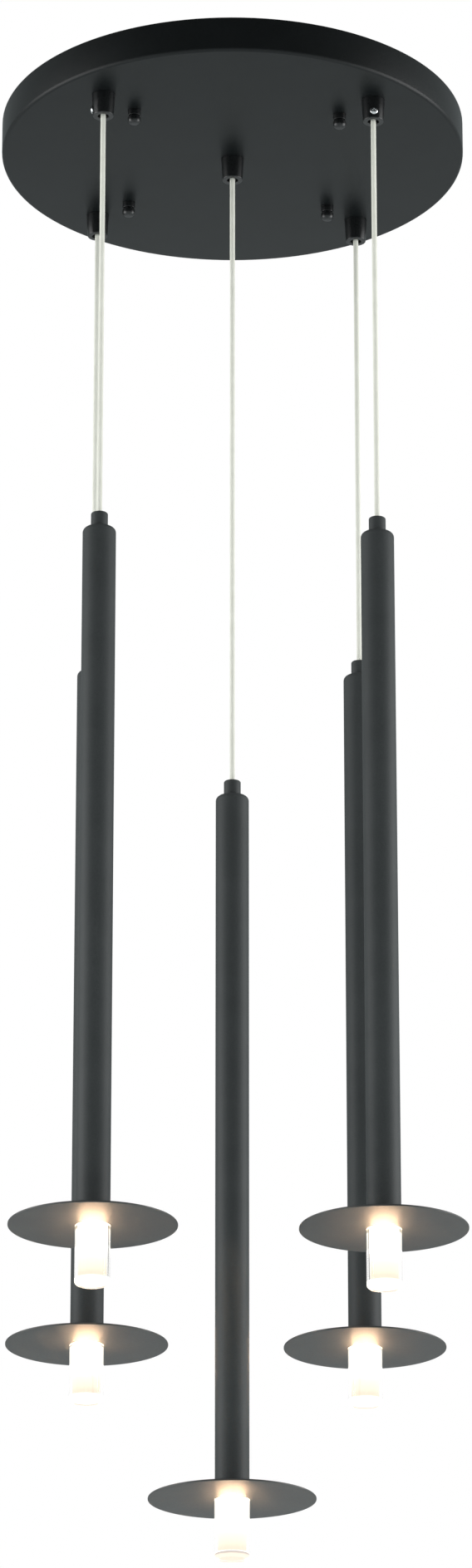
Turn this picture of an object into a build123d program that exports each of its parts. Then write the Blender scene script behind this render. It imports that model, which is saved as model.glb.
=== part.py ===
"""Cluster pendant: a round ceiling canopy with five slim tube lamps on textile cords.

Millimetres, +Z up. The origin is the middle of the ceiling plane, where the mounting bracket and the
canopy rim touch the ceiling, and everything hangs below it. The front of the pendant is at -Y.
"""

from build123d import *

import os
from math import pi, sqrt

os.makedirs("parts", exist_ok=True)

# ---------------------------------------------------------------- driving dimensions

# canopy: a round pan, open towards the ceiling
canopy_diameter = 400
canopy_height = 31
canopy_wall = 1.5
canopy_edge_radius = 3.0

# where the lamps and the studs are: four on a circle's diagonals, and one lamp in the middle
grip_circle_diameter = 324
stud_circle_diameter = 248

# mounting bracket: an H-shaped steel plate on the ceiling
bracket_thickness = 2.5
bracket_bar_width = 30
bracket_arm_width = 24
bracket_arm_reach = 12.3
bracket_corner_radius = 4
outlet_screw_spacing = 88.9
outlet_slot_width = 5.2
outlet_slot_length = 14
wire_hole_diameter = 22
ground_screw_offset = 24

# studs, hex nuts and the knobs under the pan
stud_diameter = 5
stud_nut_flats = 8
stud_nut_height = 3.2
knob_diameter = 11
knob_neck_diameter = 7.4
knob_ring_height = 5.2
knob_neck_height = 1.2
knob_height = 12.6
knob_end_radius = 3.6
knob_thread_depth = 9.5

# cord grips: tapered bells with a hollow threaded stem
grip_top_diameter = 19.8
grip_mouth_diameter = 17.4
grip_height = 20
grip_edge_radius = 0.8
grip_mouth_bore = 9.5
grip_mouth_depth = 3.6
grip_stem_diameter = 9.8
grip_stem_rise = 8.5
grip_nut_flats = 14
grip_nut_height = 4
set_screw_rise = 6
set_screw_diameter = 3.8
set_screw_head_diameter = 6.5
set_screw_head_height = 1.9
set_screw_head_edge = 0.4

# driver, terminal block and their screws
driver_width = 38
driver_length = 100
driver_height = 22
driver_ear = 10
terminal_width = 20
terminal_length = 52
terminal_height = 14
terminal_ear = 10
ear_thickness = 3
small_screw_diameter = 3.8
small_screw_head_diameter = 7
small_screw_head_height = 2.4
recess_depth = 0.9
recess_width = 0.9
box_edge_radius = 1.5

# cords
cord_diameter = 4.5
front_cord_length = 366
back_cord_length = 402
centre_cord_length = 557
cord_entry_depth = 16
canopy_lead_radius = 13.5
canopy_lead_height = -7.5
driver_wire_diameter = 2.2
lamp_wire_diameter = 1.6
lamp_wire_spread = 2.5

# lamp: collar, tube, disc, heat sink, LED board, diffuser and glass
collar_diameter = 14
collar_height = 13.5
collar_edge_radius = 1.2
collar_spigot_diameter = 10
collar_spigot_length = 8
tube_diameter = 27.5
tube_length = 593.5
tube_wall = 1.25
tube_end_wall = 4
tube_shoulder_radius = 4
disc_diameter = 134
disc_thickness = 1.5
disc_edge_radius = 0.5
stem_diameter = 16.6
stem_length = 60
stem_bore = 5
flange_thickness = 5
led_board_thickness = 1.6
led_diameter = 9
led_height = 1
glass_diameter = 28.2
glass_wall = 2.75
glass_bottom = 5
glass_length = 48
glass_edge_radius = 3
diffuser_wall = 1.5

# clearances
thread_clearance = 0.1
screw_clearance = 0.2
cord_clearance = 0.3
glue_gap = 0.15
stud_hole_clearance = 0.3

# ---------------------------------------------------------------- levels and places worked out from them

cord_radius = cord_diameter / 2
pan_underside = -canopy_height
pan_floor = pan_underside + canopy_wall
grip_mouth_level = pan_underside - grip_height
clamp_level = grip_mouth_level + set_screw_rise
grip_spread = grip_circle_diameter / 2 / sqrt(2)
stud_spread = stud_circle_diameter / 2 / sqrt(2)
bracket_underside = -bracket_thickness
bracket_arm_length = 2 * (stud_spread + bracket_arm_reach)
glass_bore = glass_diameter / 2 - glass_wall
diffuser_radius = glass_bore - glue_gap
diffuser_bore = diffuser_radius - diffuser_wall
flange_radius = diffuser_bore - glue_gap

# each lamp's place, its cord from grip to collar, and the side that its set screw is on
lamps = [
    ((-grip_spread, -grip_spread), front_cord_length, (-1, 0)),
    ((-grip_spread, grip_spread), back_cord_length, (0, 1)),
    ((0, 0), centre_cord_length, (0, 1)),
    ((grip_spread, grip_spread), back_cord_length, (0, 1)),
    ((grip_spread, -grip_spread), front_cord_length, (0, -1)),
]
grip_spots = [spot for spot, _, _ in lamps]
stud_spots = [(x * stud_spread, y * stud_spread) for x in (-1, 1) for y in (-1, 1)]
driver_screw_reach = (driver_length + driver_ear) / 2
terminal_screw_reach = (terminal_length + terminal_ear) / 2
small_screw_spots = [
    (side * stud_spread, end * reach)
    for side, reach in ((1, driver_screw_reach), (-1, terminal_screw_reach))
    for end in (-1, 1)
]


def level_plane(spot, height):
    """The level plane at a height, with its origin over a spot."""
    return Plane((spot[0], spot[1], height))


def turning_plane(spot, height):
    """The upright plane through a spot's axis: its x is the radius and its y is up."""
    return Plane(origin=(spot[0], spot[1], height), x_dir=(1, 0, 0), z_dir=(0, -1, 0))


def upright(spot):
    """The upright axis through a spot."""
    return Axis((spot[0], spot[1], 0), (0, 0, 1))


def save(part, name):
    """Label a finished piece and write it."""
    part.label = name
    export_step(part, f"parts/{name}.step")


def turn(spot, height, *corners):
    """Turn a closed profile of (radius, height) corners about a spot's axis, in the part being built."""
    with BuildSketch(turning_plane(spot, height)) as profile:
        with BuildLine():
            Polyline(*corners, close=True)
        make_face()
    revolve(profile.sketch, axis=upright(spot))


def cut_cross(plane, width):
    """Cut a cross recess into a screw head's face, at a plane on that face that looks outwards."""
    with BuildSketch(plane) as cross:
        Rectangle(width, recess_width)
        Rectangle(recess_width, width)
    extrude(cross.sketch, amount=-recess_depth, mode=Mode.SUBTRACT)


def lay_lead(points, radii, diameter):
    """Sweep a round lead along straight runs joined by tangent arcs, in the part being built."""
    with BuildLine() as route:
        FilletPolyline(*points, radius=radii)
    start = Plane(origin=points[0], z_dir=Vector(*points[1]) - Vector(*points[0]))
    with BuildSketch(start) as section:
        Circle(diameter / 2)
    sweep(section.sketch, path=route.line)
    return sum(edge.length for edge in route.edges())


# ---------------------------------------------------------------- canopy

with BuildPart() as canopy_pan:
    with BuildSketch(Plane.XY.offset(pan_underside)):
        Circle(canopy_diameter / 2)
    extrude(amount=canopy_height)
    fillet(canopy_pan.faces().sort_by(Axis.Z)[0].edges(), canopy_edge_radius)
    open_face = canopy_pan.faces().sort_by(Axis.Z)[-1]
    offset(amount=-canopy_wall, openings=open_face)
    with BuildSketch(Plane.XY.offset(pan_underside)):
        with Locations(*grip_spots):
            Circle(grip_stem_diameter / 2 + screw_clearance)
        with Locations(*stud_spots):
            Circle(stud_diameter / 2 + stud_hole_clearance)
    extrude(amount=canopy_wall, mode=Mode.SUBTRACT)
save(canopy_pan.part, "canopy_pan")

with BuildPart() as mounting_bracket:
    with BuildSketch(Plane.XY.offset(bracket_underside)) as plate:
        Rectangle(2 * stud_spread + bracket_arm_width, bracket_bar_width)
        with Locations((-stud_spread, 0), (stud_spread, 0)):
            Rectangle(bracket_arm_width, bracket_arm_length)
        fillet(plate.vertices(), bracket_corner_radius)
        with Locations((-outlet_screw_spacing / 2, 0), (outlet_screw_spacing / 2, 0)):
            SlotOverall(outlet_slot_length, outlet_slot_width, mode=Mode.SUBTRACT)
        Circle(wire_hole_diameter / 2, mode=Mode.SUBTRACT)
        with Locations(*stud_spots):
            Circle(stud_diameter / 2 + thread_clearance, mode=Mode.SUBTRACT)
        with Locations(*small_screw_spots, (ground_screw_offset, 0)):
            Circle(small_screw_diameter / 2 + thread_clearance, mode=Mode.SUBTRACT)
    extrude(amount=bracket_thickness)
save(mounting_bracket.part, "mounting_bracket")

with BuildPart() as mounting_studs:
    with BuildSketch():
        with Locations(*stud_spots):
            Circle(stud_diameter / 2)
    extrude(amount=-(canopy_height + knob_thread_depth - thread_clearance))
save(mounting_studs.part, "mounting_studs")

with BuildPart() as stud_nuts:
    with BuildSketch(Plane.XY.offset(bracket_underside)):
        with Locations(*stud_spots):
            RegularPolygon(stud_nut_flats / 2, 6, major_radius=False)
            Circle(stud_diameter / 2 + thread_clearance, mode=Mode.SUBTRACT)
    extrude(amount=-stud_nut_height)
save(stud_nuts.part, "stud_nuts")

with BuildPart() as cap_nuts:
    knob_radius = knob_diameter / 2
    neck_radius = knob_neck_diameter / 2
    knob_top = -(knob_ring_height + knob_neck_height)
    stud_bore = stud_diameter / 2 + thread_clearance
    for spot in stud_spots:
        with BuildSketch(turning_plane(spot, pan_underside)):
            with BuildLine():
                Polyline(
                    (stud_bore, 0),
                    (knob_radius, 0),
                    (knob_radius, -knob_ring_height),
                    (neck_radius, -knob_ring_height),
                    (neck_radius, knob_top),
                    (knob_radius, knob_top),
                    (knob_radius, -knob_height + knob_end_radius),
                )
                RadiusArc(
                    (knob_radius, -knob_height + knob_end_radius),
                    (knob_radius - knob_end_radius, -knob_height),
                    -knob_end_radius,
                )
                Polyline(
                    (knob_radius - knob_end_radius, -knob_height),
                    (0, -knob_height),
                    (0, -knob_thread_depth),
                    (stud_bore, -knob_thread_depth),
                    (stud_bore, 0),
                )
            make_face()
        revolve(axis=upright(spot))
save(cap_nuts.part, "cap_nuts")

# ---------------------------------------------------------------- cord grips

bell_slope = (grip_top_diameter - grip_mouth_diameter) / 2 / grip_height
bell_radius_at_screw = grip_mouth_diameter / 2 + bell_slope * set_screw_rise
screw_seat = bell_radius_at_screw + bell_slope * set_screw_head_diameter / 2

with BuildPart() as cord_grips:
    for spot in grip_spots:
        turn(
            spot,
            pan_underside,
            (0, -grip_height),
            (grip_mouth_diameter / 2, -grip_height),
            (grip_top_diameter / 2, 0),
            (grip_stem_diameter / 2, 0),
            (grip_stem_diameter / 2, canopy_wall + grip_stem_rise),
            (0, canopy_wall + grip_stem_rise),
        )
    fillet(cord_grips.faces().group_by(Axis.Z)[0].edges(), grip_edge_radius)
    with BuildSketch(Plane.XY.offset(grip_mouth_level)):
        with Locations(*grip_spots):
            Circle(cord_radius + cord_clearance)
    extrude(amount=grip_height + canopy_wall + grip_stem_rise, mode=Mode.SUBTRACT)
    with BuildSketch(Plane.XY.offset(grip_mouth_level)):
        with Locations(*grip_spots):
            Circle(grip_mouth_bore / 2)
    extrude(amount=grip_mouth_depth, mode=Mode.SUBTRACT)
    for spot, _, side in lamps:
        with BuildSketch(Plane(origin=(*spot, clamp_level), z_dir=(*side, 0))):
            Circle(set_screw_diameter / 2 + thread_clearance)
        extrude(amount=grip_top_diameter, mode=Mode.SUBTRACT)
save(cord_grips.part, "cord_grips")

with BuildPart() as grip_set_screws:
    screw_tip = cord_radius + cord_clearance
    screw_radius = set_screw_diameter / 2
    head_radius = set_screw_head_diameter / 2
    head_end = screw_seat + set_screw_head_height
    dome_start = screw_seat + set_screw_head_edge
    dome_rise = head_end - dome_start
    dome_radius = (head_radius**2 + dome_rise**2) / (2 * dome_rise)
    for (x, y), _, (side_x, side_y) in lamps:
        middle = (x, y, clamp_level)
        sideways = (side_x, side_y, 0)
        with BuildSketch(Plane(origin=middle, x_dir=sideways, z_dir=(-side_y, side_x, 0))) as profile:
            with BuildLine():
                Polyline(
                    (head_end, 0),
                    (screw_tip, 0),
                    (screw_tip, screw_radius),
                    (screw_seat, screw_radius),
                    (screw_seat, head_radius),
                    (dome_start, head_radius),
                )
                RadiusArc((dome_start, head_radius), (head_end, 0), dome_radius)
            make_face()
        revolve(profile.sketch, axis=Axis(middle, sideways))
        head_face = Plane(origin=(x + side_x * head_end, y + side_y * head_end, clamp_level), z_dir=sideways)
        cut_cross(head_face, head_radius)
save(grip_set_screws.part, "grip_set_screws")

with BuildPart() as grip_lock_nuts:
    with BuildSketch(Plane.XY.offset(pan_floor)):
        with Locations(*grip_spots):
            RegularPolygon(grip_nut_flats / 2, 6, major_radius=False)
            Circle(grip_stem_diameter / 2 + thread_clearance, mode=Mode.SUBTRACT)
    extrude(amount=grip_nut_height)
save(grip_lock_nuts.part, "grip_lock_nuts")

# ---------------------------------------------------------------- what the canopy holds

ear_level = bracket_underside - ear_thickness


def bracket_box(side, width, length, height, ear):
    """A box with a screw ear at each end, under one arm of the bracket, in the part being built."""
    spot = (side * stud_spread, 0)
    with BuildSketch(level_plane(spot, bracket_underside)) as body:
        Rectangle(width, length)
        fillet(body.vertices(), box_edge_radius)
    extrude(body.sketch, amount=-height)
    with BuildSketch(level_plane(spot, bracket_underside)) as ears:
        Rectangle(bracket_arm_width / 2, length + 2 * ear)
        with Locations((0, -(length + ear) / 2), (0, (length + ear) / 2)):
            Circle(small_screw_diameter / 2 + screw_clearance, mode=Mode.SUBTRACT)
    extrude(ears.sketch, amount=-ear_thickness)


with BuildPart() as led_driver:
    bracket_box(1, driver_width, driver_length, driver_height, driver_ear)
    fillet(led_driver.faces().sort_by(Axis.Z)[0].edges(), box_edge_radius)
save(led_driver.part, "led_driver")

terminal_ways = 6
terminal_screw_hole = 3.4
terminal_screw_depth = 5

with BuildPart() as terminal_block:
    bracket_box(-1, terminal_width, terminal_length, terminal_height, terminal_ear)
    with BuildSketch(level_plane((-stud_spread, 0), bracket_underside - terminal_height)):
        with GridLocations(terminal_width / 2, terminal_length / terminal_ways, 2, terminal_ways):
            Circle(terminal_screw_hole / 2)
    extrude(amount=terminal_screw_depth, mode=Mode.SUBTRACT)
save(terminal_block.part, "terminal_block")


def small_screw(spot, seat, tip):
    """A round-head screw from below: its head sits at seat, and its tip is higher up."""
    with BuildSketch(level_plane(spot, seat)) as shank:
        Circle(small_screw_diameter / 2)
    extrude(shank.sketch, amount=tip - seat)
    with BuildSketch(level_plane(spot, seat)) as head:
        Circle(small_screw_head_diameter / 2)
    extrude(head.sketch, amount=-small_screw_head_height, taper=20)
    head_face = Plane(origin=(*spot, seat - small_screw_head_height), z_dir=(0, 0, -1))
    cut_cross(head_face, small_screw_head_diameter / 2)


with BuildPart() as bracket_screws:
    for spot in small_screw_spots:
        small_screw(spot, ear_level, -thread_clearance)
save(bracket_screws.part, "bracket_screws")

with BuildPart() as ground_screw:
    small_screw((ground_screw_offset, 0), bracket_underside, -thread_clearance)
save(ground_screw.part, "ground_screw")

# the cords' own ends inside the pan, from each grip to the terminal block
lead_start = clamp_level + cord_clearance
block_inner_face = -stud_spread + terminal_width / 2
block_outer_face = -stud_spread - terminal_width / 2
outer_entry = 14
centre_entry = -14
corner_entry = 22
corner_turn = -58
centre_turn = -24


def canopy_points(spot, *turns):
    """A canopy lead's corners: up through its grip, and then level through the turns."""
    return [(*spot, lead_start), (*spot, canopy_lead_height), *((x, y, canopy_lead_height) for x, y in turns)]


canopy_routes = [
    canopy_points(grip_spots[0], (-grip_spread, -outer_entry), (block_outer_face, -outer_entry)),
    canopy_points(grip_spots[1], (-grip_spread, outer_entry), (block_outer_face, outer_entry)),
    canopy_points(grip_spots[2], (centre_turn, centre_entry), (block_inner_face, centre_entry)),
    canopy_points(
        grip_spots[3], (corner_turn, grip_spread), (corner_turn, corner_entry), (block_inner_face, corner_entry)
    ),
    canopy_points(
        grip_spots[4], (corner_turn, -grip_spread), (corner_turn, -corner_entry), (block_inner_face, -corner_entry)
    ),
]
with BuildPart() as canopy_leads:
    canopy_lead_lengths = [
        lay_lead(points, [canopy_lead_radius] * (len(points) - 2), cord_diameter) for points in canopy_routes
    ]
save(canopy_leads.part, "canopy_leads")
print("canopy leads, mm:", [round(length) for length in canopy_lead_lengths], "radius", canopy_lead_radius)
lead_section = pi * cord_radius**2
print("canopy leads, volume over section x length:", canopy_leads.part.volume / lead_section / sum(canopy_lead_lengths))

driver_wire_places = (12.5, 16)
driver_inner_face = stud_spread - driver_width / 2
with BuildPart() as driver_leads:
    with BuildSketch(Plane(origin=(block_inner_face, 0, canopy_lead_height), x_dir=(0, 1, 0), z_dir=(1, 0, 0))):
        with Locations(*((place, 0) for place in driver_wire_places)):
            Circle(driver_wire_diameter / 2)
    extrude(amount=driver_inner_face - block_inner_face)
save(driver_leads.part, "driver_leads")

# ---------------------------------------------------------------- lamps

for number, (spot, cord_length, _) in enumerate(lamps, start=1):
    collar_top = grip_mouth_level - cord_length
    cord_end = collar_top - cord_entry_depth
    tube_top = collar_top - collar_height
    disc_top = tube_top - tube_length
    disc_under = disc_top - disc_thickness
    flange_under = disc_under - flange_thickness
    board_under = flange_under - led_board_thickness
    glass_end = disc_under - glass_length

    with BuildPart() as cord:
        with BuildSketch(level_plane(spot, clamp_level)):
            Circle(cord_radius)
        extrude(amount=cord_end - clamp_level)
    save(cord.part, f"cord_{number}")
    print(f"cord_{number}: {clamp_level - cord_end} mm, straight")

    with BuildPart() as collar:
        with BuildSketch(level_plane(spot, tube_top)):
            Circle(collar_diameter / 2)
        extrude(amount=collar_height)
        fillet(collar.faces().sort_by(Axis.Z)[-1].edges(), collar_edge_radius)
        with BuildSketch(level_plane(spot, tube_top)):
            Circle(collar_spigot_diameter / 2)
        extrude(amount=-collar_spigot_length)
        with BuildSketch(level_plane(spot, cord_end)):
            Circle(cord_radius + cord_clearance)
        extrude(amount=cord_entry_depth, mode=Mode.SUBTRACT)
        with BuildSketch(level_plane(spot, cord_end)):
            with GridLocations(lamp_wire_spread, 0, 2, 1):
                Circle(lamp_wire_diameter / 2 + thread_clearance)
        extrude(amount=-collar_spigot_length, mode=Mode.SUBTRACT)
    save(collar.part, f"collar_{number}")

    with BuildPart() as tube:
        with BuildSketch(level_plane(spot, disc_top)):
            Circle(tube_diameter / 2)
        extrude(amount=tube_length)
        fillet(tube.faces().sort_by(Axis.Z)[-1].edges(), tube_shoulder_radius)
        with BuildSketch(level_plane(spot, disc_top + tube_end_wall)):
            Circle(tube_diameter / 2 - tube_wall)
        extrude(amount=tube_length - 2 * tube_end_wall, mode=Mode.SUBTRACT)
        with BuildSketch(level_plane(spot, tube_top)):
            Circle(collar_spigot_diameter / 2 + thread_clearance)
        extrude(amount=-tube_end_wall, mode=Mode.SUBTRACT)
        with BuildSketch(level_plane(spot, disc_top)):
            Circle(stem_diameter / 2 + thread_clearance)
        extrude(amount=tube_end_wall, mode=Mode.SUBTRACT)
    save(tube.part, f"tube_{number}")

    with BuildPart() as lamp_leads:
        with BuildSketch(level_plane(spot, flange_under)):
            with GridLocations(lamp_wire_spread, 0, 2, 1):
                Circle(lamp_wire_diameter / 2)
        extrude(amount=cord_end - flange_under)
    save(lamp_leads.part, f"lamp_leads_{number}")

    with BuildPart() as heat_sink:
        with BuildSketch(level_plane(spot, flange_under)):
            Circle(flange_radius)
        extrude(amount=flange_thickness)
        with BuildSketch(level_plane(spot, disc_under)):
            Circle(stem_diameter / 2)
        extrude(amount=stem_length)
        with BuildSketch(level_plane(spot, flange_under)):
            Circle(stem_bore / 2)
        extrude(amount=flange_thickness + stem_length, mode=Mode.SUBTRACT)
    save(heat_sink.part, f"heat_sink_{number}")

    with BuildPart() as disc:
        with BuildSketch(level_plane(spot, disc_under)):
            Circle(disc_diameter / 2)
            Circle(stem_diameter / 2 + thread_clearance, mode=Mode.SUBTRACT)
        extrude(amount=disc_thickness)
        rim = disc.faces().filter_by(GeomType.CYLINDER).sort_by(SortBy.AREA)[-1]
        fillet(rim.edges().filter_by(GeomType.CIRCLE), disc_edge_radius)
    save(disc.part, f"disc_{number}")

    with BuildPart() as led_board:
        with BuildSketch(level_plane(spot, board_under)):
            Circle(flange_radius)
        extrude(amount=led_board_thickness)
        with BuildSketch(level_plane(spot, board_under)):
            Circle(led_diameter / 2)
        extrude(amount=-led_height)
    save(led_board.part, f"led_board_{number}")

    with BuildPart() as diffuser:
        cup_floor = glass_end + glass_bottom
        cup_length = glass_length - glass_bottom
        with BuildSketch(level_plane(spot, cup_floor)):
            Circle(diffuser_radius)
        extrude(amount=cup_length)
        with BuildSketch(level_plane(spot, cup_floor + diffuser_wall)):
            Circle(diffuser_bore)
        extrude(amount=cup_length - diffuser_wall, mode=Mode.SUBTRACT)
    save(diffuser.part, f"diffuser_{number}")

    with BuildPart() as glass:
        with BuildSketch(level_plane(spot, glass_end)):
            Circle(glass_diameter / 2)
        extrude(amount=glass_length)
        fillet(glass.faces().sort_by(Axis.Z)[0].edges(), glass_edge_radius)
        with BuildSketch(level_plane(spot, cup_floor)):
            Circle(glass_bore)
        extrude(amount=glass_length - glass_bottom, mode=Mode.SUBTRACT)
    save(glass.part, f"glass_{number}")
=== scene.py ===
"""Looks of the cluster pendant: its powder-coated metal, braided cords, lit glass and studio."""

import math

import bpy
from mathutils import Matrix, Vector


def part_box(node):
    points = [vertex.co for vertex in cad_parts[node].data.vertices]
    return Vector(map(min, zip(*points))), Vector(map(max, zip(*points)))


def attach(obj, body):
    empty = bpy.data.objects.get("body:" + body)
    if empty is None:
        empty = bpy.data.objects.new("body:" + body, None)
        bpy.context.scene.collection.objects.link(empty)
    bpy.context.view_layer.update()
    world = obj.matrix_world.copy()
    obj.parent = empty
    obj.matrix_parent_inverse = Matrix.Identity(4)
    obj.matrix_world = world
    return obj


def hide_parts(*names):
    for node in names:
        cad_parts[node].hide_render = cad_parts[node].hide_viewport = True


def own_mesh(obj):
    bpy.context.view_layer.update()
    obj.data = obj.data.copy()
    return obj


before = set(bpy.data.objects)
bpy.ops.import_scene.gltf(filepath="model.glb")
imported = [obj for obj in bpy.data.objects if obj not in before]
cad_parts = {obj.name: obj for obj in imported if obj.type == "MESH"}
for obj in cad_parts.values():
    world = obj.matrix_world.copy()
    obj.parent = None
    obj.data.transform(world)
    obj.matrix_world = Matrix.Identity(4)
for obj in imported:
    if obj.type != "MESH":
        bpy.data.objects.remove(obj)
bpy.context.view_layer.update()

# ---------------------------------------------------------------- the camera that took the photograph

PHOTO_HEIGHT = 1887
FOCAL_PIXELS = 6650
SENSOR_HEIGHT = 36
CAMERA_DISTANCE = 4.30  # from the pendant's upright axis
CAMERA_DROP = 2.228  # below the ceiling
CAMERA_PITCH = math.radians(20.62)
CAMERA_SIDE_TURN = math.radians(2.52)
CAMERA_PAN = math.radians(0.041)
CAMERA_CLIP_END = 60

# ---------------------------------------------------------------- other sizes, in metres

# how finely the turned pieces are cut
STEPS_AROUND = 128
SMALL_STEPS = 64
CORNER_STEPS = 6
SHARP_ANGLE = math.radians(40)
MERGE_DISTANCE = 1e-6

# edges that are only just broken
BROKEN_EDGE_RADIUS = 0.0003
FINE_EDGE_RADIUS = 0.0002

# the canopy's pan
PAN_WALL = 0.0015
PAN_EDGE_RADIUS = 0.003
PAN_RIM_RADIUS = 0.0004

# the knobs under it
KNOB_RADIUS = 0.0055
KNOB_NECK_RADIUS = 0.0037
KNOB_RING_HEIGHT = 0.0052
KNOB_GROOVE = 0.0012
KNOB_END_RADIUS = 0.0036

# the cord grips
GRIP_TOP_RADIUS = 0.0099
GRIP_MOUTH_RADIUS = 0.0087
GRIP_HEIGHT = 0.020
GRIP_EDGE_RADIUS = 0.0008
GRIP_BORE_RADIUS = 0.00475
GRIP_BORE_DEPTH = 0.0036
GRIP_STEM_RADIUS = 0.0049
CORD_BORE_RADIUS = 0.00255

# the circle on which four knobs or four grips sit
COPIES_ON_CIRCLE = 4
FIRST_COPY_ANGLE = math.pi / 4

# the lamps
COLLAR_HEIGHT = 0.0135
COLLAR_EDGE_RADIUS = 0.0012
COLLAR_FOOT_RADIUS = 0.0001
TUBE_SHOULDER_RADIUS = 0.004
TUBE_FOOT_RADIUS = 0.0004
DISC_EDGE_RADIUS = 0.0005
DISC_HOLE_RADIUS = 0.0084
GLASS_WALL = 0.00275
GLASS_BOTTOM = 0.005
GLASS_EDGE_RADIUS = 0.003
GLASS_LIP_RADIUS = 0.0004
GLASS_FLOOR_RADIUS = 0.0008
CORE_WALL = 0.0015
CORE_FOOT_RADIUS = 0.0009
CORE_FLOOR_RADIUS = 0.0005

# the cords and their braid
CORD_DIAMETER = 0.0045
CORD_END_RUN = 6 * CORD_DIAMETER
CORD_CORE_RADIUS = 0.0018
CORD_CORE_SIDES = 24
BRAID_PITCH = 0.0165
BRAID_STEPS_PER_TURN = 20
STRANDS_EACH_WAY = 8
STRAND_SIDES = 6
STRAND_WIDTH = 0.0014
STRAND_THICKNESS = 0.00036
WEAVE_DEPTH = 0.00014

LAMPS = range(1, 6)


# ---------------------------------------------------------------- node helpers


def add(tree, kind, inputs=None, **settings):
    """Add a node, set its settings, and set or link its inputs by name or number."""
    made = tree.nodes.new(kind)
    for name, value in settings.items():
        setattr(made, name, value)
    for name, value in (inputs or {}).items():
        socket = made.inputs[name]
        if isinstance(value, bpy.types.NodeSocket):
            tree.links.new(value, socket)
        else:
            socket.default_value = value
    return made


def maths(tree, operation, first, second=0.0, third=0.0):
    """The result of one sum on numbers or sockets."""
    return add(tree, "ShaderNodeMath", {0: first, 1: second, 2: third}, operation=operation).outputs[0]


def vector_maths(tree, operation, inputs):
    """The result of one sum on vectors."""
    return add(tree, "ShaderNodeVectorMath", inputs, operation=operation).outputs[0]


def geometry_tree(name, sockets):
    """A new geometry node tree with a geometry input and output and the named inputs."""
    tree = bpy.data.node_groups.new(name, "GeometryNodeTree")
    tree.interface.new_socket("Geometry", in_out="INPUT", socket_type="NodeSocketGeometry")
    tree.interface.new_socket("Geometry", in_out="OUTPUT", socket_type="NodeSocketGeometry")
    for label, kind in sockets:
        tree.interface.new_socket(label, in_out="INPUT", socket_type=kind)
    start = tree.nodes.new("NodeGroupInput")
    end = tree.nodes.new("NodeGroupOutput")
    return tree, start.outputs, end.inputs["Geometry"]


def finish_tree(tree, geometry, finish, end):
    """End a tree in Realize Instances and Set Material."""
    real = add(tree, "GeometryNodeRealizeInstances", {"Geometry": geometry}).outputs["Geometry"]
    coated = add(
        tree, "GeometryNodeSetMaterial", {"Geometry": real, "Material": finish}
    ).outputs["Geometry"]
    tree.links.new(coated, end)


def grow(name, host, tree, values):
    """Run a geometry node tree on a host's data and return the result as a plain mesh object."""
    holder = bpy.data.objects.new(name + "_host", host)
    bpy.context.scene.collection.objects.link(holder)
    modifier = holder.modifiers.new("grow", "NODES")
    modifier.node_group = tree
    for item in tree.interface.items_tree:
        if item.in_out == "INPUT" and item.name in values:
            modifier[item.identifier] = values[item.name]
    bpy.context.view_layer.update()
    seen = holder.evaluated_get(bpy.context.evaluated_depsgraph_get())
    mesh = bpy.data.meshes.new_from_object(seen)
    mesh.name = name
    bpy.data.objects.remove(holder)
    piece = bpy.data.objects.new(name, mesh)
    bpy.context.scene.collection.objects.link(piece)
    return piece


# ---------------------------------------------------------------- trees that make the pieces


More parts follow.
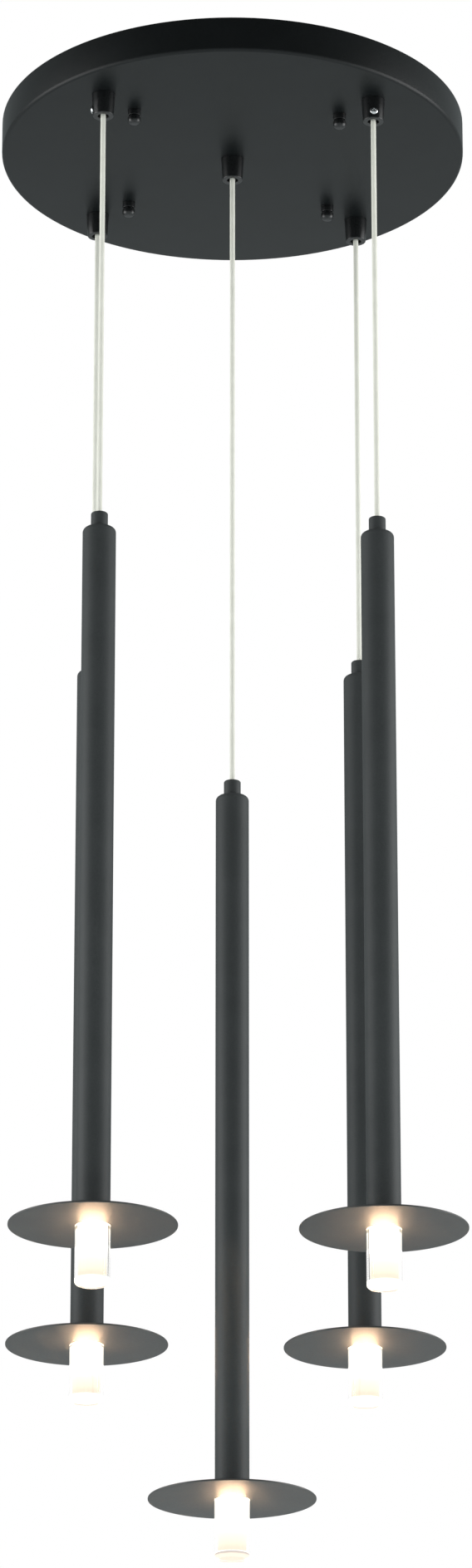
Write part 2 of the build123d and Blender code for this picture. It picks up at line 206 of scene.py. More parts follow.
def turned_tree():
    """Turns a profile, whose points are in order with x as the radius, about an upright axis."""
    tree, given, end = geometry_tree(
        "turned_piece",
        [
            ("Steps Around", "NodeSocketInt"),
            ("Place", "NodeSocketVector"),
            ("Sharp Angle", "NodeSocketFloat"),
            ("Finish", "NodeSocketMaterial"),
        ],
    )
    profile = given["Geometry"]
    count = add(
        tree, "GeometryNodeAttributeDomainSize", {"Geometry": profile}, component="MESH"
    ).outputs[0]
    around = maths(tree, "ADD", given["Steps Around"], 1.0)
    size = {"Vertices X": around, "Vertices Y": count}
    grid = add(tree, "GeometryNodeMeshGrid", size).outputs["Mesh"]
    index = add(tree, "GeometryNodeInputIndex").outputs[0]
    row = maths(tree, "FLOORED_MODULO", index, count)
    step = maths(tree, "FLOOR", maths(tree, "DIVIDE", index, count))
    share = maths(tree, "DIVIDE", step, given["Steps Around"])
    angle = maths(tree, "MULTIPLY", share, math.tau)
    point = add(
        tree,
        "GeometryNodeSampleIndex",
        {"Geometry": profile, "Value": add(tree, "GeometryNodeInputPosition").outputs[0], "Index": row},
        data_type="FLOAT_VECTOR",
    ).outputs[0]
    radius, _, height = add(tree, "ShaderNodeSeparateXYZ", {0: point}).outputs
    turned = add(
        tree,
        "ShaderNodeCombineXYZ",
        {
            0: maths(tree, "MULTIPLY", radius, maths(tree, "COSINE", angle)),
            1: maths(tree, "MULTIPLY", radius, maths(tree, "SINE", angle)),
            2: height,
        },
    ).outputs[0]
    placed = vector_maths(tree, "ADD", {0: turned, 1: given["Place"]})
    surface = add(tree, "GeometryNodeSetPosition", {"Geometry": grid, "Position": placed}).outputs[0]
    unrolled = add(
        tree,
        "ShaderNodeCombineXYZ",
        {0: share, 1: maths(tree, "DIVIDE", row, maths(tree, "SUBTRACT", count, 1.0))},
    ).outputs[0]
    mapped = add(
        tree,
        "GeometryNodeStoreNamedAttribute",
        {"Geometry": surface, "Name": "UVMap", "Value": unrolled},
        data_type="FLOAT2",
        domain="CORNER",
    ).outputs[0]
    closed = add(
        tree, "GeometryNodeMergeByDistance", {"Geometry": mapped, "Distance": MERGE_DISTANCE}
    ).outputs[0]
    smooth = add(tree, "GeometryNodeSetShadeSmooth", {"Geometry": closed}, domain="FACE").outputs[0]
    bend = add(tree, "GeometryNodeInputMeshEdgeAngle").outputs["Unsigned Angle"]
    sharp = maths(tree, "GREATER_THAN", bend, given["Sharp Angle"])
    edged = add(
        tree,
        "GeometryNodeSetShadeSmooth",
        {"Geometry": smooth, "Selection": sharp, "Shade Smooth": False},
        domain="EDGE",
    ).outputs[0]
    finish_tree(tree, edged, given["Finish"], end)
    return tree


def ring_tree():
    """Sets copies of one piece on a circle, and one more in the middle where that is wanted."""
    tree, given, end = geometry_tree(
        "ring_of_copies",
        [
            ("Circle Radius", "NodeSocketFloat"),
            ("Count", "NodeSocketInt"),
            ("First Angle", "NodeSocketFloat"),
            ("Middle Copies", "NodeSocketInt"),
            ("Finish", "NodeSocketMaterial"),
        ],
    )
    circle = {"Vertices": given["Count"], "Radius": given["Circle Radius"]}
    ring = add(tree, "GeometryNodeMeshCircle", circle).outputs["Mesh"]
    turn = add(tree, "ShaderNodeCombineXYZ", {2: given["First Angle"]}).outputs[0]
    turned = add(tree, "GeometryNodeTransform", {"Geometry": ring, "Rotation": turn}).outputs[0]
    spots = add(tree, "GeometryNodeMeshToPoints", {"Mesh": turned}).outputs[0]
    middle = add(tree, "GeometryNodePoints", {"Count": given["Middle Copies"]}).outputs[0]
    joined = add(tree, "GeometryNodeJoinGeometry")
    tree.links.new(spots, joined.inputs[0])
    tree.links.new(middle, joined.inputs[0])
    copies = add(
        tree,
        "GeometryNodeInstanceOnPoints",
        {"Points": joined.outputs[0], "Instance": given["Geometry"]},
    ).outputs[0]
    finish_tree(tree, copies, given["Finish"], end)
    return tree


def braid_tree():
    """Braids strands round a core along a route: half wind each way, over two and under two."""
    tree, given, end = geometry_tree(
        "braided_cord",
        [
            ("Cord Radius", "NodeSocketFloat"),
            ("Strands Each Way", "NodeSocketInt"),
            ("Turns", "NodeSocketFloat"),
            ("Steps Along", "NodeSocketInt"),
            ("Strand Width", "NodeSocketFloat"),
            ("Strand Thickness", "NodeSocketFloat"),
            ("Weave Depth", "NodeSocketFloat"),
            ("Core Radius", "NodeSocketFloat"),
            ("Finish", "NodeSocketMaterial"),
        ],
    )
    each = given["Strands Each Way"]
    line = add(tree, "GeometryNodeMeshLine", {"Count": given["Steps Along"]}).outputs[0]
    spline = add(tree, "GeometryNodeMeshToCurve", {"Mesh": line}).outputs[0]
    copies = add(
        tree,
        "GeometryNodeDuplicateElements",
        {"Geometry": spline, "Amount": maths(tree, "MULTIPLY", each, 2.0)},
        domain="SPLINE",
    )
    number = copies.outputs["Duplicate Index"]
    backwards = maths(tree, "GREATER_THAN", maths(tree, "ADD", number, 0.5), each)
    way = maths(tree, "MULTIPLY_ADD", backwards, -2.0, 1.0)
    own = maths(tree, "FLOORED_MODULO", number, each)
    along = add(tree, "GeometryNodeSplineParameter").outputs["Factor"]
    turns = maths(tree, "MULTIPLY", along, given["Turns"])
    crossing = maths(tree, "MULTIPLY", turns, maths(tree, "MULTIPLY", each, 2.0))
    angle = maths(
        tree,
        "MULTIPLY",
        maths(tree, "ADD", maths(tree, "MULTIPLY", turns, way), maths(tree, "DIVIDE", own, each)),
        math.tau,
    )
    cell = maths(tree, "ADD", maths(tree, "MULTIPLY", own, 2.0), maths(tree, "MULTIPLY", crossing, way))
    phase = maths(tree, "MULTIPLY", maths(tree, "SUBTRACT", cell, 0.5), math.tau / 4)
    wave = maths(tree, "COSINE", phase)
    lift = maths(tree, "MULTIPLY", maths(tree, "MULTIPLY", wave, way), given["Weave Depth"])
    inset = maths(
        tree, "ADD", given["Weave Depth"], maths(tree, "MULTIPLY", given["Strand Thickness"], 0.5)
    )
    middle = maths(tree, "SUBTRACT", given["Cord Radius"], inset)
    reach = maths(tree, "ADD", middle, lift)
    route = add(
        tree, "GeometryNodeSampleCurve", {"Curves": given["Geometry"], "Factor": along}, mode="FACTOR"
    )
    side = route.outputs["Normal"]
    other = vector_maths(tree, "CROSS_PRODUCT", {0: route.outputs["Tangent"], 1: side})
    part_side = vector_maths(tree, "SCALE", {0: side, "Scale": maths(tree, "COSINE", angle)})
    part_other = vector_maths(tree, "SCALE", {0: other, "Scale": maths(tree, "SINE", angle)})
    outward = vector_maths(tree, "ADD", {0: part_side, 1: part_other})
    offset = vector_maths(tree, "SCALE", {0: outward, "Scale": reach})
    place = vector_maths(tree, "ADD", {0: route.outputs["Position"], 1: offset})
    laid = add(
        tree, "GeometryNodeSetPosition", {"Geometry": copies.outputs[0], "Position": place}
    ).outputs[0]
    aimed = add(
        tree, "GeometryNodeSetCurveNormal", {"Curve": laid, "Normal": outward}, mode="FREE"
    ).outputs[0]
    ring = add(
        tree, "GeometryNodeCurvePrimitiveCircle", {"Resolution": STRAND_SIDES, "Radius": 0.5}
    ).outputs["Curve"]
    flat = add(
        tree,
        "ShaderNodeCombineXYZ",
        {0: given["Strand Thickness"], 1: given["Strand Width"], 2: 1.0},
    ).outputs[0]
    section = add(tree, "GeometryNodeTransform", {"Geometry": ring, "Scale": flat}).outputs[0]
    strands = add(
        tree, "GeometryNodeCurveToMesh", {"Curve": aimed, "Profile Curve": section, "Fill Caps": True}
    ).outputs[0]
    core_ring = add(
        tree,
        "GeometryNodeCurvePrimitiveCircle",
        {"Resolution": CORD_CORE_SIDES, "Radius": given["Core Radius"]},
    ).outputs["Curve"]
    core = add(
        tree,
        "GeometryNodeCurveToMesh",
        {"Curve": given["Geometry"], "Profile Curve": core_ring, "Fill Caps": True},
    ).outputs[0]
    joined = add(tree, "GeometryNodeJoinGeometry")
    tree.links.new(core, joined.inputs[0])
    tree.links.new(strands, joined.inputs[0])
    smooth = add(
        tree, "GeometryNodeSetShadeSmooth", {"Geometry": joined.outputs[0]}, domain="FACE"
    ).outputs[0]
    finish_tree(tree, smooth, given["Finish"], end)
    return tree


# ---------------------------------------------------------------- profiles


def rounded(corners):
    """Profile points from corners (radius, height, rounding), with arcs at the rounded ones."""
    points = []
    for number, (x, z, size) in enumerate(corners):
        here = Vector((x, z))
        if not size:
            points.append(here)
            continue
        before = (Vector(corners[number - 1][:2]) - here).normalized()
        after = (Vector(corners[(number + 1) % len(corners)][:2]) - here).normalized()
        half = before.angle(after) / 2
        centre = here + (before + after).normalized() * (size / math.sin(half))
        start = here + before * (size / math.tan(half)) - centre
        sweep = math.pi - 2 * half
        if before.x * after.y - before.y * after.x > 0:
            sweep = -sweep
        for step in range(CORNER_STEPS + 1):
            points.append(centre + Matrix.Rotation(sweep * step / CORNER_STEPS, 2) @ start)
    return points


def profile_mesh(name, points):
    """A chain of profile points as the host of the turned tree."""
    mesh = bpy.data.meshes.new(name + "_profile")
    places = [(radius, 0, height) for radius, height in points]
    links = [(number, number + 1) for number in range(len(points) - 1)]
    mesh.from_pydata(places, links, [])
    return mesh


def turn_piece(name, corners, place, finish, steps=STEPS_AROUND, closed=False):
    """A turned piece. Its corners run up the outside from the bottom, so that faces look outwards."""
    points = rounded(corners)
    if closed:
        points.append(points[0])
    values = {"Steps Around": steps, "Place": place, "Sharp Angle": SHARP_ANGLE, "Finish": finish}
    return grow(name, profile_mesh(name, points), TURNED, values)


# ---------------------------------------------------------------- materials


def new_material(name):
    """An empty node material: its tree, its shader and its object coordinates."""
    material = bpy.data.materials.new(name)
    material.use_nodes = True
    tree = material.node_tree
    tree.nodes.clear()
    output = add(tree, "ShaderNodeOutputMaterial")
    shader = add(tree, "ShaderNodeBsdfPrincipled")
    tree.links.new(shader.outputs[0], output.inputs["Surface"])
    place = add(tree, "ShaderNodeTexCoord").outputs["Object"]
    return material, tree, shader, place


def noise(tree, place, scale, detail=2.0, rough=0.5):
    """A noise value on object coordinates."""
    settings = {"Vector": place, "Scale": scale, "Detail": detail, "Roughness": rough}
    return add(tree, "ShaderNodeTexNoise", settings).outputs[0]


def ramp(tree, value, *stops):
    """A colour ramp through (position, grey or colour) stops."""
    made = add(tree, "ShaderNodeValToRGB", {0: value})
    elements = made.color_ramp.elements
    elements[0].position, elements[1].position = stops[0][0], stops[-1][0]
    for position, _ in stops[1:-1]:
        elements.new(position)
    for element, (_, colour) in zip(elements, stops):
        element.color = (*colour, 1) if isinstance(colour, tuple) else (colour, colour, colour, 1)
    return made.outputs[0]


def bump(tree, shader, height, distance):
    """Bump a shader by a height value over a distance in metres."""
    made = add(tree, "ShaderNodeBump", {"Height": height, "Distance": distance, "Strength": 1.0})
    tree.links.new(made.outputs[0], shader.inputs["Normal"])


def powder_coat(name, dark, light, roughness, gloss_level, spread=0.03, grain=900.0, depth=0.00008):
    """Matte charcoal powder coat: a fine orange-peel grain with a slight mottle in colour and gloss."""
    material, tree, shader, place = new_material(name)
    shader.inputs["Specular IOR Level"].default_value = gloss_level
    fine = noise(tree, place, scale=grain, detail=3.0, rough=0.6)
    mottle = noise(tree, place, scale=35.0, detail=3.0)
    blend = maths(tree, "MULTIPLY_ADD", fine, 0.6, maths(tree, "MULTIPLY", mottle, 0.4))
    colour = ramp(tree, blend, (0.3, dark), (0.7, light))
    tree.links.new(colour, shader.inputs["Base Color"])
    limits = {
        "From Min": 0.3,
        "From Max": 0.7,
        "To Min": roughness - spread,
        "To Max": roughness + spread,
    }
    gloss = add(tree, "ShaderNodeMapRange", {"Value": fine, **limits}).outputs[0]
    tree.links.new(gloss, shader.inputs["Roughness"])
    bump(tree, shader, fine, distance=depth)
    return material


def braided_textile():
    """Ivory cotton: a soft sheen, a fine grain of fibres and a slight drift in tone."""
    material, tree, shader, place = new_material("ivory_textile")
    fibres = noise(tree, place, scale=2600.0)
    patch = noise(tree, place, scale=60.0)
    blend = maths(tree, "MULTIPLY_ADD", fibres, 0.5, maths(tree, "MULTIPLY", patch, 0.5))
    colour = ramp(tree, blend, (0.25, (0.71, 0.715, 0.63)), (0.75, (0.84, 0.845, 0.775)))
    tree.links.new(colour, shader.inputs["Base Color"])
    shader.inputs["Roughness"].default_value = 0.85
    shader.inputs["Sheen Weight"].default_value = 0.1
    bump(tree, shader, fibres, distance=0.0001)
    return material


def bright_metal(name, colour, roughness):
    """Plated or turned metal with faint brushed streaks."""
    material, tree, shader, place = new_material(name)
    stretched = add(tree, "ShaderNodeMapping", {"Vector": place, "Scale": (1.0, 1.0, 0.12)}).outputs[0]
    streaks = noise(tree, stretched, scale=400.0, detail=4.0, rough=0.7)
    low = tuple(0.86 * channel for channel in colour)
    tree.links.new(ramp(tree, streaks, (0.3, low), (0.7, colour)), shader.inputs["Base Color"])
    shader.inputs["Metallic"].default_value = 1.0
    limits = {"To Min": roughness * 0.8, "To Max": roughness * 1.3}
    gloss = add(tree, "ShaderNodeMapRange", {"Value": streaks, **limits}).outputs[0]
    tree.links.new(gloss, shader.inputs["Roughness"])
    bump(tree, shader, streaks, distance=0.00002)
    return material


def moulded_plastic(name, colour, roughness):
    """Moulded plastic with a fine spark-eroded grain."""
    material, tree, shader, place = new_material(name)
    grain = noise(tree, place, scale=1500.0)
    low = tuple(0.93 * channel for channel in colour)
    tree.links.new(ramp(tree, grain, (0.3, low), (0.7, colour)), shader.inputs["Base Color"])
    shader.inputs["Roughness"].default_value = roughness
    bump(tree, shader, grain, distance=0.00004)
    return material


def height_share(tree, place, bottom, top):
    """How far up a point is between two heights, from 0 to 1."""
    height = add(tree, "ShaderNodeSeparateXYZ", {0: place}).outputs[2]
    limits = {"From Min": bottom, "From Max": top}
    return add(tree, "ShaderNodeMapRange", {"Value": height, **limits}).outputs[0]


def clear_glass(name, bottom, top):
    """Clear polished glass with painted light in its emission: a glowing thick foot, a lit band above
    it, a faint glow up its wall and a bright ring at its rim, painted as though it carried light from
    its rim down its wall into its foot.
    """
    material, tree, shader, place = new_material(name)
    shader.inputs["Base Color"].default_value = (0.985, 0.99, 0.985, 1)
    shader.inputs["Roughness"].default_value = 0.0
    shader.inputs["IOR"].default_value = 1.5
    shader.inputs["Transmission Weight"].default_value = 1.0
    ripple = noise(tree, place, scale=40.0, detail=1.0)
    bump(tree, shader, ripple, distance=0.00002)
    rise = height_share(tree, place, bottom, top)
    # painted light: this emission ramp makes the glass glow in its foot, in a band of its wall, up its
    # wall and at its rim, though the glass is no lamp
    glow = ramp(
        tree,
        rise,
        (0.0, (0.66, 0.55, 0.43)),
        (0.001, (0.78, 0.72, 0.60)),
        (0.045, (0.74, 0.70, 0.58)),
        (0.065, (0.34, 0.325, 0.315)),
        (0.104, (0.34, 0.325, 0.315)),
        (0.110, (0.014, 0.013, 0.010)),
        (0.45, (0.014, 0.013, 0.010)),
        (0.75, (0.10, 0.09, 0.07)),
        (0.985, (0.16, 0.135, 0.095)),
        (0.992, (2.4, 1.9, 1.25)),
    )
    tree.links.new(glow, shader.inputs["Emission Color"])
    shader.inputs["Emission Strength"].default_value = 1.0
    return material


def frosted_core(name, bottom, top):
    """Frosted plastic lit from above: white-hot near the light source, and a warm cream at its foot."""
    material, tree, shader, place = new_material(name)
    shader.inputs["Base Color"].default_value = (0.09, 0.085, 0.075, 1)
    shader.inputs["Roughness"].default_value = 0.8
    shader.inputs["Specular IOR Level"].default_value = 0.05
    rise = height_share(tree, place, bottom, top)
    glow = ramp(
        tree,
        rise,
        (0.0, (0.26, 0.20, 0.17)),
        (0.02, (1.05, 0.84, 0.66)),
        (0.07, (1.05, 0.85, 0.67)),
        (0.14, (1.08, 0.95, 0.78)),
        (0.33, (1.08, 1.03, 0.93)),
        (0.48, (1.6, 1.45, 1.25)),
        (0.57, (34.0, 22.0, 13.6)),
        (0.80, (34.0, 22.0, 13.6)),
        (1.0, (42.0, 28.5, 18.5)),
    )
    tree.links.new(glow, shader.inputs["Emission Color"])
    shader.inputs["Emission Strength"].default_value = 1.0
    grain = noise(tree, place, scale=1200.0)
    bump(tree, shader, grain, distance=0.00003)
    return material


# ---------------------------------------------------------------- the pieces

TURNED = turned_tree()
RING = ring_tree()
BRAID = braid_tree()

tube_coat = powder_coat(
    "tube_powder_coat",
    dark=(0.030, 0.035, 0.0355),
    light=(0.043, 0.0485, 0.0495),
    roughness=0.565,
    gloss_level=0.33,
)
canopy_coat = powder_coat(
    "canopy_powder_coat",
    dark=(0.0033, 0.0044, 0.0047),
    light=(0.0058, 0.0075, 0.0079),
    roughness=0.375,
    gloss_level=0.235,
)
disc_coat = powder_coat(
    "disc_powder_coat",
    dark=(0.0115, 0.0122, 0.0116),
    light=(0.031, 0.0325, 0.030),
    roughness=0.57,
    gloss_level=1.0,
    spread=0.06,
    grain=1050.0,
    depth=0.00006,
)
fitting_coat = powder_coat(
    "fitting_coat",
    dark=(0.004, 0.0045, 0.005),
    light=(0.008, 0.009, 0.0095),
    roughness=0.295,
    gloss_level=0.5,
)
textile = braided_textile()
chrome = bright_metal("chrome_screws", (0.80, 0.81, 0.82), roughness=0.12)
zinc = bright_metal("zinc_plating", (0.60, 0.61, 0.61), roughness=0.34)
brass = bright_metal("earth_brass", (0.70, 0.52, 0.22), roughness=0.3)
aluminium = bright_metal("bare_aluminium", (0.78, 0.79, 0.80), roughness=0.3)
driver_plastic = moulded_plastic("driver_case", (0.80, 0.80, 0.78), roughness=0.5)
terminal_plastic = moulded_plastic("terminal_plastic", (0.70, 0.71, 0.68), roughness=0.35)
wire_plastic = moulded_plastic("wire_insulation", (0.72, 0.72, 0.70), roughness=0.4)
board_white = moulded_plastic("led_board", (0.86, 0.85, 0.78), roughness=0.5)


def dress_nodes():
    """Give the CAD nodes that stay their finishes."""
    finishes = {
        "mounting_bracket": zinc,
        "mounting_studs": zinc,
        "stud_nuts": zinc,
        "bracket_screws": zinc,
        "grip_lock_nuts": zinc,
        "ground_screw": brass,
        "grip_set_screws": chrome,
        "led_driver": driver_plastic,
        "terminal_block": terminal_plastic,
        "canopy_leads": textile,
        "driver_leads": wire_plastic,
    }
    for lamp in LAMPS:
        finishes[f"lamp_leads_{lamp}"] = wire_plastic
        finishes[f"heat_sink_{lamp}"] = aluminium
        finishes[f"led_board_{lamp}"] = board_white
    for node, material in finishes.items():
        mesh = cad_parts[node].data
        mesh.materials.clear()
        mesh.materials.append(material)


def make_canopy():
    """The pan: an open shell with a rounded lower edge."""
    low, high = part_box("canopy_pan")
    radius = (high.x - low.x) / 2
    height = high.z - low.z
    pan = turn_piece(
        "canopy_shell",
        [
            (0, 0, 0),
            (radius, 0, PAN_EDGE_RADIUS),
            (radius, height, PAN_RIM_RADIUS),
            (radius - PAN_WALL, height, PAN_RIM_RADIUS),
            (radius - PAN_WALL, PAN_WALL, PAN_EDGE_RADIUS - PAN_WALL),
            (0, PAN_WALL, 0),
        ],
        (0, 0, low.z),
        canopy_coat,
    )
    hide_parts("canopy_pan")
    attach(pan, "canopy")


def ring_of(one, name, spread, middle_copies):
    """Four copies of one fitting on the diagonals of a circle, and any in the middle, in its place."""
    values = {
        "Circle Radius": spread,
        "Count": COPIES_ON_CIRCLE,
        "First Angle": FIRST_COPY_ANGLE,
        "Middle Copies": middle_copies,
        "Finish": fitting_coat,
    }
    copies = grow(name, one.data, RING, values)
    bpy.data.objects.remove(one)
    return copies


def make_knobs():
    """The four knobs under the pan: a ring, a groove and a domed knob."""
    low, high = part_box("cap_nuts")
    radius = KNOB_RADIUS
    spread = (high.x - radius) * math.sqrt(2)
    height = high.z - low.z
    groove = height - KNOB_RING_HEIGHT - KNOB_GROOVE
    one = turn_piece(
        "knob",
        [
            (0, 0, 0),
            (radius, 0, KNOB_END_RADIUS),
            (radius, groove, BROKEN_EDGE_RADIUS),
            (KNOB_NECK_RADIUS, groove, 0),
            (KNOB_NECK_RADIUS, groove + KNOB_GROOVE, 0),
            (radius, groove + KNOB_GROOVE, BROKEN_EDGE_RADIUS),
            (radius, height, FINE_EDGE_RADIUS),
            (0, height, 0),
        ],
        (0, 0, low.z),
        fitting_coat,
        SMALL_STEPS,
    )
    knobs = ring_of(one, "knobs", spread, middle_copies=0)
    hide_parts("cap_nuts")
    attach(knobs, "canopy")


def make_grips():
    """The five cord grips: tapered bells with a hollow mouth and a threaded stem."""
    low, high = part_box("cord_grips")
    spread = (high.x - GRIP_TOP_RADIUS) * math.sqrt(2)
    stem = high.z - low.z
    one = turn_piece(
        "grip",
        [
            (GRIP_BORE_RADIUS, GRIP_BORE_DEPTH, 0),
            (GRIP_BORE_RADIUS, 0, BROKEN_EDGE_RADIUS),
            (GRIP_MOUTH_RADIUS, 0, GRIP_EDGE_RADIUS),
            (GRIP_TOP_RADIUS, GRIP_HEIGHT, FINE_EDGE_RADIUS),
            (GRIP_STEM_RADIUS, GRIP_HEIGHT, 0),
            (GRIP_STEM_RADIUS, stem, BROKEN_EDGE_RADIUS),
            (CORD_BORE_RADIUS, stem, 0),
            (CORD_BORE_RADIUS, GRIP_BORE_DEPTH, 0),
        ],
        (0, 0, low.z),
        fitting_coat,
        SMALL_STEPS,
        closed=True,
    )
    grips = ring_of(one, "grips", spread, middle_copies=1)
    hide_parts("cord_grips")
    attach(grips, "canopy")


def make_tube(lamp, body):
    """The tube: one closed shell with a rounded shoulder. Gives the place of its axis."""
    low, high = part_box(f"tube_{lamp}")
    x, y = (low.x + high.x) / 2, (low.y + high.y) / 2
    radius = (high.x - low.x) / 2
    length = high.z - low.z
    tube = turn_piece(
        f"tube_shell_{lamp}",
        [
            (0, 0, 0),
            (radius, 0, TUBE_FOOT_RADIUS),
            (radius, length, TUBE_SHOULDER_RADIUS),
            (0, length, 0),
        ],
        (x, y, low.z),
        tube_coat,
    )
    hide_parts(f"tube_{lamp}")
    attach(tube, body)
    return x, y


def make_collar(lamp, body, x, y):
    """The small turned cylinder on top of the tube, where the cord goes in."""
    collar_low, collar_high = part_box(f"collar_{lamp}")
    collar_radius = (collar_high.x - collar_low.x) / 2
    collar = turn_piece(
        f"collar_shell_{lamp}",
        [
            (CORD_BORE_RADIUS, 0, 0),
            (collar_radius, 0, COLLAR_FOOT_RADIUS),
            (collar_radius, COLLAR_HEIGHT, COLLAR_EDGE_RADIUS),
            (CORD_BORE_RADIUS, COLLAR_HEIGHT, FINE_EDGE_RADIUS),
        ],
        (x, y, collar_high.z - COLLAR_HEIGHT),
        tube_coat,
        SMALL_STEPS,
        closed=True,
    )
    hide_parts(f"collar_{lamp}")
    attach(collar, body)


def make_disc(lamp, body, x, y):
    """The flat round disc under the tube."""
    disc_low, disc_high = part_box(f"disc_{lamp}")
    disc_radius = (disc_high.x - disc_low.x) / 2
    thickness = disc_high.z - disc_low.z
    disc = turn_piece(
        f"disc_plate_{lamp}",
        [
            (DISC_HOLE_RADIUS, 0, 0),
            (disc_radius, 0, DISC_EDGE_RADIUS),
            (disc_radius, thickness, DISC_EDGE_RADIUS),
            (DISC_HOLE_RADIUS, thickness, 0),
        ],
        (x, y, disc_low.z),
        disc_coat,
        closed=True,
    )
    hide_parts(f"disc_{lamp}")
    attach(disc, body)


def make_glass(lamp, body, x, y):
    """The clear glass cylinder with its thick bottom."""
    glass_low, glass_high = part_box(f"glass_{lamp}")
    glass_radius = (glass_high.x - glass_low.x) / 2
    glass_length = glass_high.z - glass_low.z
    bore = glass_radius - GLASS_WALL
    glass = turn_piece(
        f"glass_cup_{lamp}",
        [
            (0, 0, 0),
            (glass_radius, 0, GLASS_EDGE_RADIUS),
            (glass_radius, glass_length, GLASS_LIP_RADIUS),
            (bore, glass_length, GLASS_LIP_RADIUS),
            (bore, GLASS_BOTTOM, GLASS_FLOOR_RADIUS),
            (0, GLASS_BOTTOM, 0),
        ],
        (x, y, glass_low.z),
        clear_glass(f"clear_glass_{lamp}", glass_low.z, glass_high.z),
        SMALL_STEPS,
    )
    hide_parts(f"glass_{lamp}")
    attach(glass, body)


def make_core(lamp, body, x, y):
    """The frosted inner cup that glows."""
    core_low, core_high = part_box(f"diffuser_{lamp}")
    core_radius = (core_high.x - core_low.x) / 2
    core_length = core_high.z - core_low.z
    core_bore = core_radius - CORE_WALL
    core = turn_piece(
        f"frosted_core_{lamp}",
        [
            (0, 0, 0),
            (core_radius, 0, CORE_FOOT_RADIUS),
            (core_radius, core_length, FINE_EDGE_RADIUS),
            (core_bore, core_length, FINE_EDGE_RADIUS),
            (core_bore, CORE_WALL, CORE_FLOOR_RADIUS),
            (0, CORE_WALL, 0),
        ],
        (x, y, core_low.z),
        frosted_core(f"frosted_core_{lamp}", core_low.z, core_high.z),
        SMALL_STEPS,
    )
    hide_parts(f"diffuser_{lamp}")
    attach(core, body)


def make_lamp(lamp):
    """One lamp's tube, and on the same axis its collar, disc, glass and frosted core."""
    body = f"lamp_{lamp}"
    x, y = make_tube(lamp, body)
    make_collar(lamp, body, x, y)
    make_disc(lamp, body, x, y)
    make_glass(lamp, body, x, y)
    make_core(lamp, body, x, y)


def make_cord(lamp):
    """One lamp's cord: a braid on a straight route from the grip's set screw into the collar."""
    low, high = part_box(f"cord_{lamp}")
    x, y = (low.x + high.x) / 2, (low.y + high.y) / 2
    length = high.z - low.z
    heights = [high.z, high.z - CORD_END_RUN, low.z + CORD_END_RUN, low.z]
    route = bpy.data.curves.new(f"cord_route_{lamp}", "CURVE")
    route.dimensions = "3D"
    spline = route.splines.new("NURBS")
    spline.points.add(len(heights) - 1)
    for point, height in zip(spline.points, heights):
        point.co = (x, y, height, 1)
    spline.order_u = 3
    spline.use_endpoint_u = True
    holder = bpy.data.objects.new(f"cord_route_{lamp}", route)
    bpy.context.scene.collection.objects.link(holder)
    bpy.context.view_layer.update()
    line = bpy.data.meshes.new_from_object(holder.evaluated_get(bpy.context.evaluated_depsgraph_get()))
    bpy.data.objects.remove(holder)
    turns = length / BRAID_PITCH
    values = {
        "Cord Radius": CORD_DIAMETER / 2,
        "Strands Each Way": STRANDS_EACH_WAY,
        "Turns": turns,
        "Steps Along": round(turns * BRAID_STEPS_PER_TURN),
        "Strand Width": STRAND_WIDTH,
        "Strand Thickness": STRAND_THICKNESS,
        "Weave Depth": WEAVE_DEPTH,
        "Core Radius": CORD_CORE_RADIUS,
        "Finish": textile,
    }
    cord = grow(f"braided_cord_{lamp}", route, BRAID, values)
    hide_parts(f"cord_{lamp}")
    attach(cord, f"hanging_cord_{lamp}")
    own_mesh(cord)


# ---------------------------------------------------------------- studio

FLOOR_LEVEL = -2.6
FLOOR_REACH = 14.0
FILL_STRENGTH = 0.69
RIGHT_SIDE_GAIN = 0.14
LIGHT_TARGET = Vector((0, 0, -0.7))
SOFTBOX_WIDTH = 2.0
SOFTBOX_HEIGHT = 2.8
SOFTBOX_DISTANCE = 2.6
SOFTBOX_DEPTH = -0.2
LEFT_POWER = 54
RIGHT_POWER = 65


def make_floor():
    """A pale floor, seen from above only, so that it never hides the pendant from below."""
    mesh = bpy.data.meshes.new("floor")
    signs = ((-1, -1), (1, -1), (1, 1), (-1, 1))
    corners = [(x * FLOOR_REACH, y * FLOOR_REACH, FLOOR_LEVEL) for x, y in signs]
    mesh.from_pydata(corners, [], [(0, 1, 2, 3)])
    floor = bpy.data.objects.new("floor", mesh)
    bpy.context.scene.collection.objects.link(floor)
    material = bpy.data.materials.new("studio_floor")
    material.use_nodes = True
    tree = material.node_tree
    tree.nodes.clear()
    output = add(tree, "ShaderNodeOutputMaterial")
    matte = add(tree, "ShaderNodeBsdfDiffuse", {"Color": (0.79, 0.85, 0.86, 1)})
    seen = add(tree, "ShaderNodeEmission", {"Color": (0.90, 0.90, 0.89, 1), "Strength": 1.0})
    clear = add(tree, "ShaderNodeBsdfTransparent")
    camera_ray = add(tree, "ShaderNodeLightPath").outputs["Is Camera Ray"]
    above = add(tree, "ShaderNodeMixShader", {0: camera_ray, 1: matte.outputs[0], 2: seen.outputs[0]})
    below = add(tree, "ShaderNodeNewGeometry").outputs["Backfacing"]
    choice = add(tree, "ShaderNodeMixShader", {0: below, 1: above.outputs[0], 2: clear.outputs[0]})
    tree.links.new(choice.outputs[0], output.inputs["Surface"])
    mesh.materials.append(material)


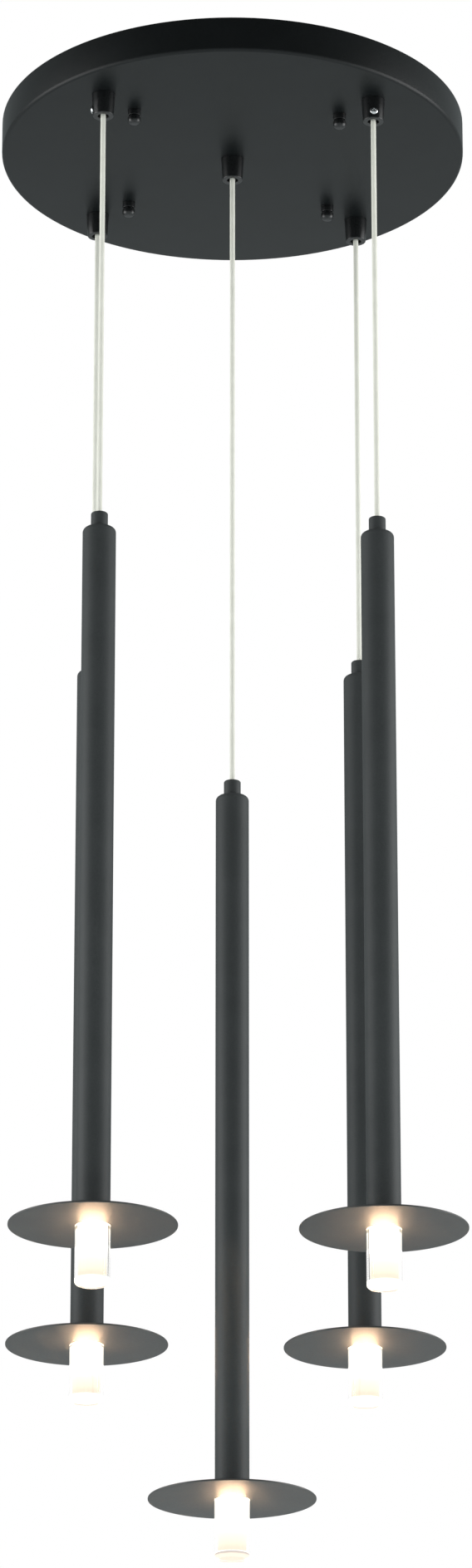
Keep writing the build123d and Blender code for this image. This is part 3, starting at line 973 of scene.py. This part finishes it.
def make_world():
    """White for the camera and through the glass, dark to pale in reflections, and even elsewhere."""
    world = bpy.data.worlds.new("studio")
    bpy.context.scene.world = world
    world.use_nodes = True
    tree = world.node_tree
    tree.nodes.clear()
    output = add(tree, "ShaderNodeOutputWorld")
    rays = add(tree, "ShaderNodeLightPath").outputs
    heading = add(tree, "ShaderNodeTexCoord").outputs["Generated"]
    right, back, _ = add(tree, "ShaderNodeSeparateXYZ", {0: heading}).outputs
    depth = maths(tree, "MULTIPLY_ADD", back, 0.5, 0.5)
    surroundings = ramp(
        tree,
        depth,
        (0.0, (0.028, 0.030, 0.030)),
        (0.35, (0.065, 0.070, 0.071)),
        (0.6, (0.290, 0.320, 0.325)),
        (0.8, (0.325, 0.360, 0.365)),
    )
    tilt = maths(tree, "MULTIPLY_ADD", right, RIGHT_SIDE_GAIN, 1.0)
    white = add(tree, "ShaderNodeBackground", {"Color": (1, 1, 1, 1), "Strength": 1.0}).outputs[0]
    even = {"Color": (1, 1, 1, 1), "Strength": FILL_STRENGTH}
    fill = add(tree, "ShaderNodeBackground", even).outputs[0]
    mirrored = add(tree, "ShaderNodeBackground", {"Color": surroundings, "Strength": tilt}).outputs[0]
    lighting = {0: rays["Is Glossy Ray"], 1: fill, 2: mirrored}
    unseen = add(tree, "ShaderNodeMixShader", lighting).outputs[0]
    clear = maths(tree, "MAXIMUM", rays["Is Transmission Ray"], rays["Is Singular Ray"])
    seen = maths(tree, "MAXIMUM", rays["Is Camera Ray"], clear)
    both = add(tree, "ShaderNodeMixShader", {0: seen, 1: unseen, 2: white}).outputs[0]
    tree.links.new(both, output.inputs["Surface"])


def left_out(name, piece):
    """A collection of one piece of each lamp, for keeping those pieces out of a light."""
    pieces = bpy.data.collections.new(name)
    for lamp in LAMPS:
        pieces.objects.link(bpy.data.objects[f"{piece}_{lamp}"])
    for entry in pieces.collection_objects:
        entry.light_linking.link_state = "EXCLUDE"
    return pieces


def make_softbox(name, side, power, pieces):
    """A soft rectangular light on the left (side -1) or right (side 1), with pieces kept out of it."""
    light = bpy.data.lights.new(name, "AREA")
    light.shape = "RECTANGLE"
    light.size = SOFTBOX_WIDTH
    light.size_y = SOFTBOX_HEIGHT
    light.energy = power
    place = Vector((side * SOFTBOX_DISTANCE, SOFTBOX_DEPTH, LIGHT_TARGET.z))
    softbox = bpy.data.objects.new(name, light)
    softbox.location = place
    softbox.rotation_euler = (LIGHT_TARGET - place).to_track_quat("-Z", "Y").to_euler()
    bpy.context.scene.collection.objects.link(softbox)
    softbox.light_linking.receiver_collection = pieces


def make_camera():
    """The camera below and in front of the pendant, looking up."""
    data = bpy.data.cameras.new("photo_camera")
    data.sensor_fit = "VERTICAL"
    data.sensor_height = SENSOR_HEIGHT
    data.lens = SENSOR_HEIGHT * FOCAL_PIXELS / PHOTO_HEIGHT
    data.clip_end = CAMERA_CLIP_END
    camera = bpy.data.objects.new("photo_camera", data)
    camera.location = (
        -CAMERA_DISTANCE * math.sin(CAMERA_SIDE_TURN),
        -CAMERA_DISTANCE * math.cos(CAMERA_SIDE_TURN),
        -CAMERA_DROP,
    )
    camera.rotation_euler = (math.pi / 2 + CAMERA_PITCH, 0, -(CAMERA_SIDE_TURN + CAMERA_PAN))
    bpy.context.scene.collection.objects.link(camera)
    bpy.context.scene.camera = camera


dress_nodes()
make_canopy()
make_knobs()
make_grips()
for lamp in LAMPS:
    make_lamp(lamp)
    make_cord(lamp)
make_camera()
make_floor()
make_world()
glasses = left_out("out_of_softbox_light", "glass_cup")
make_softbox("left_softbox", -1, LEFT_POWER, glasses)
make_softbox("right_softbox", 1, RIGHT_POWER, glasses)

bpy.context.scene.view_settings.view_transform = "Standard"
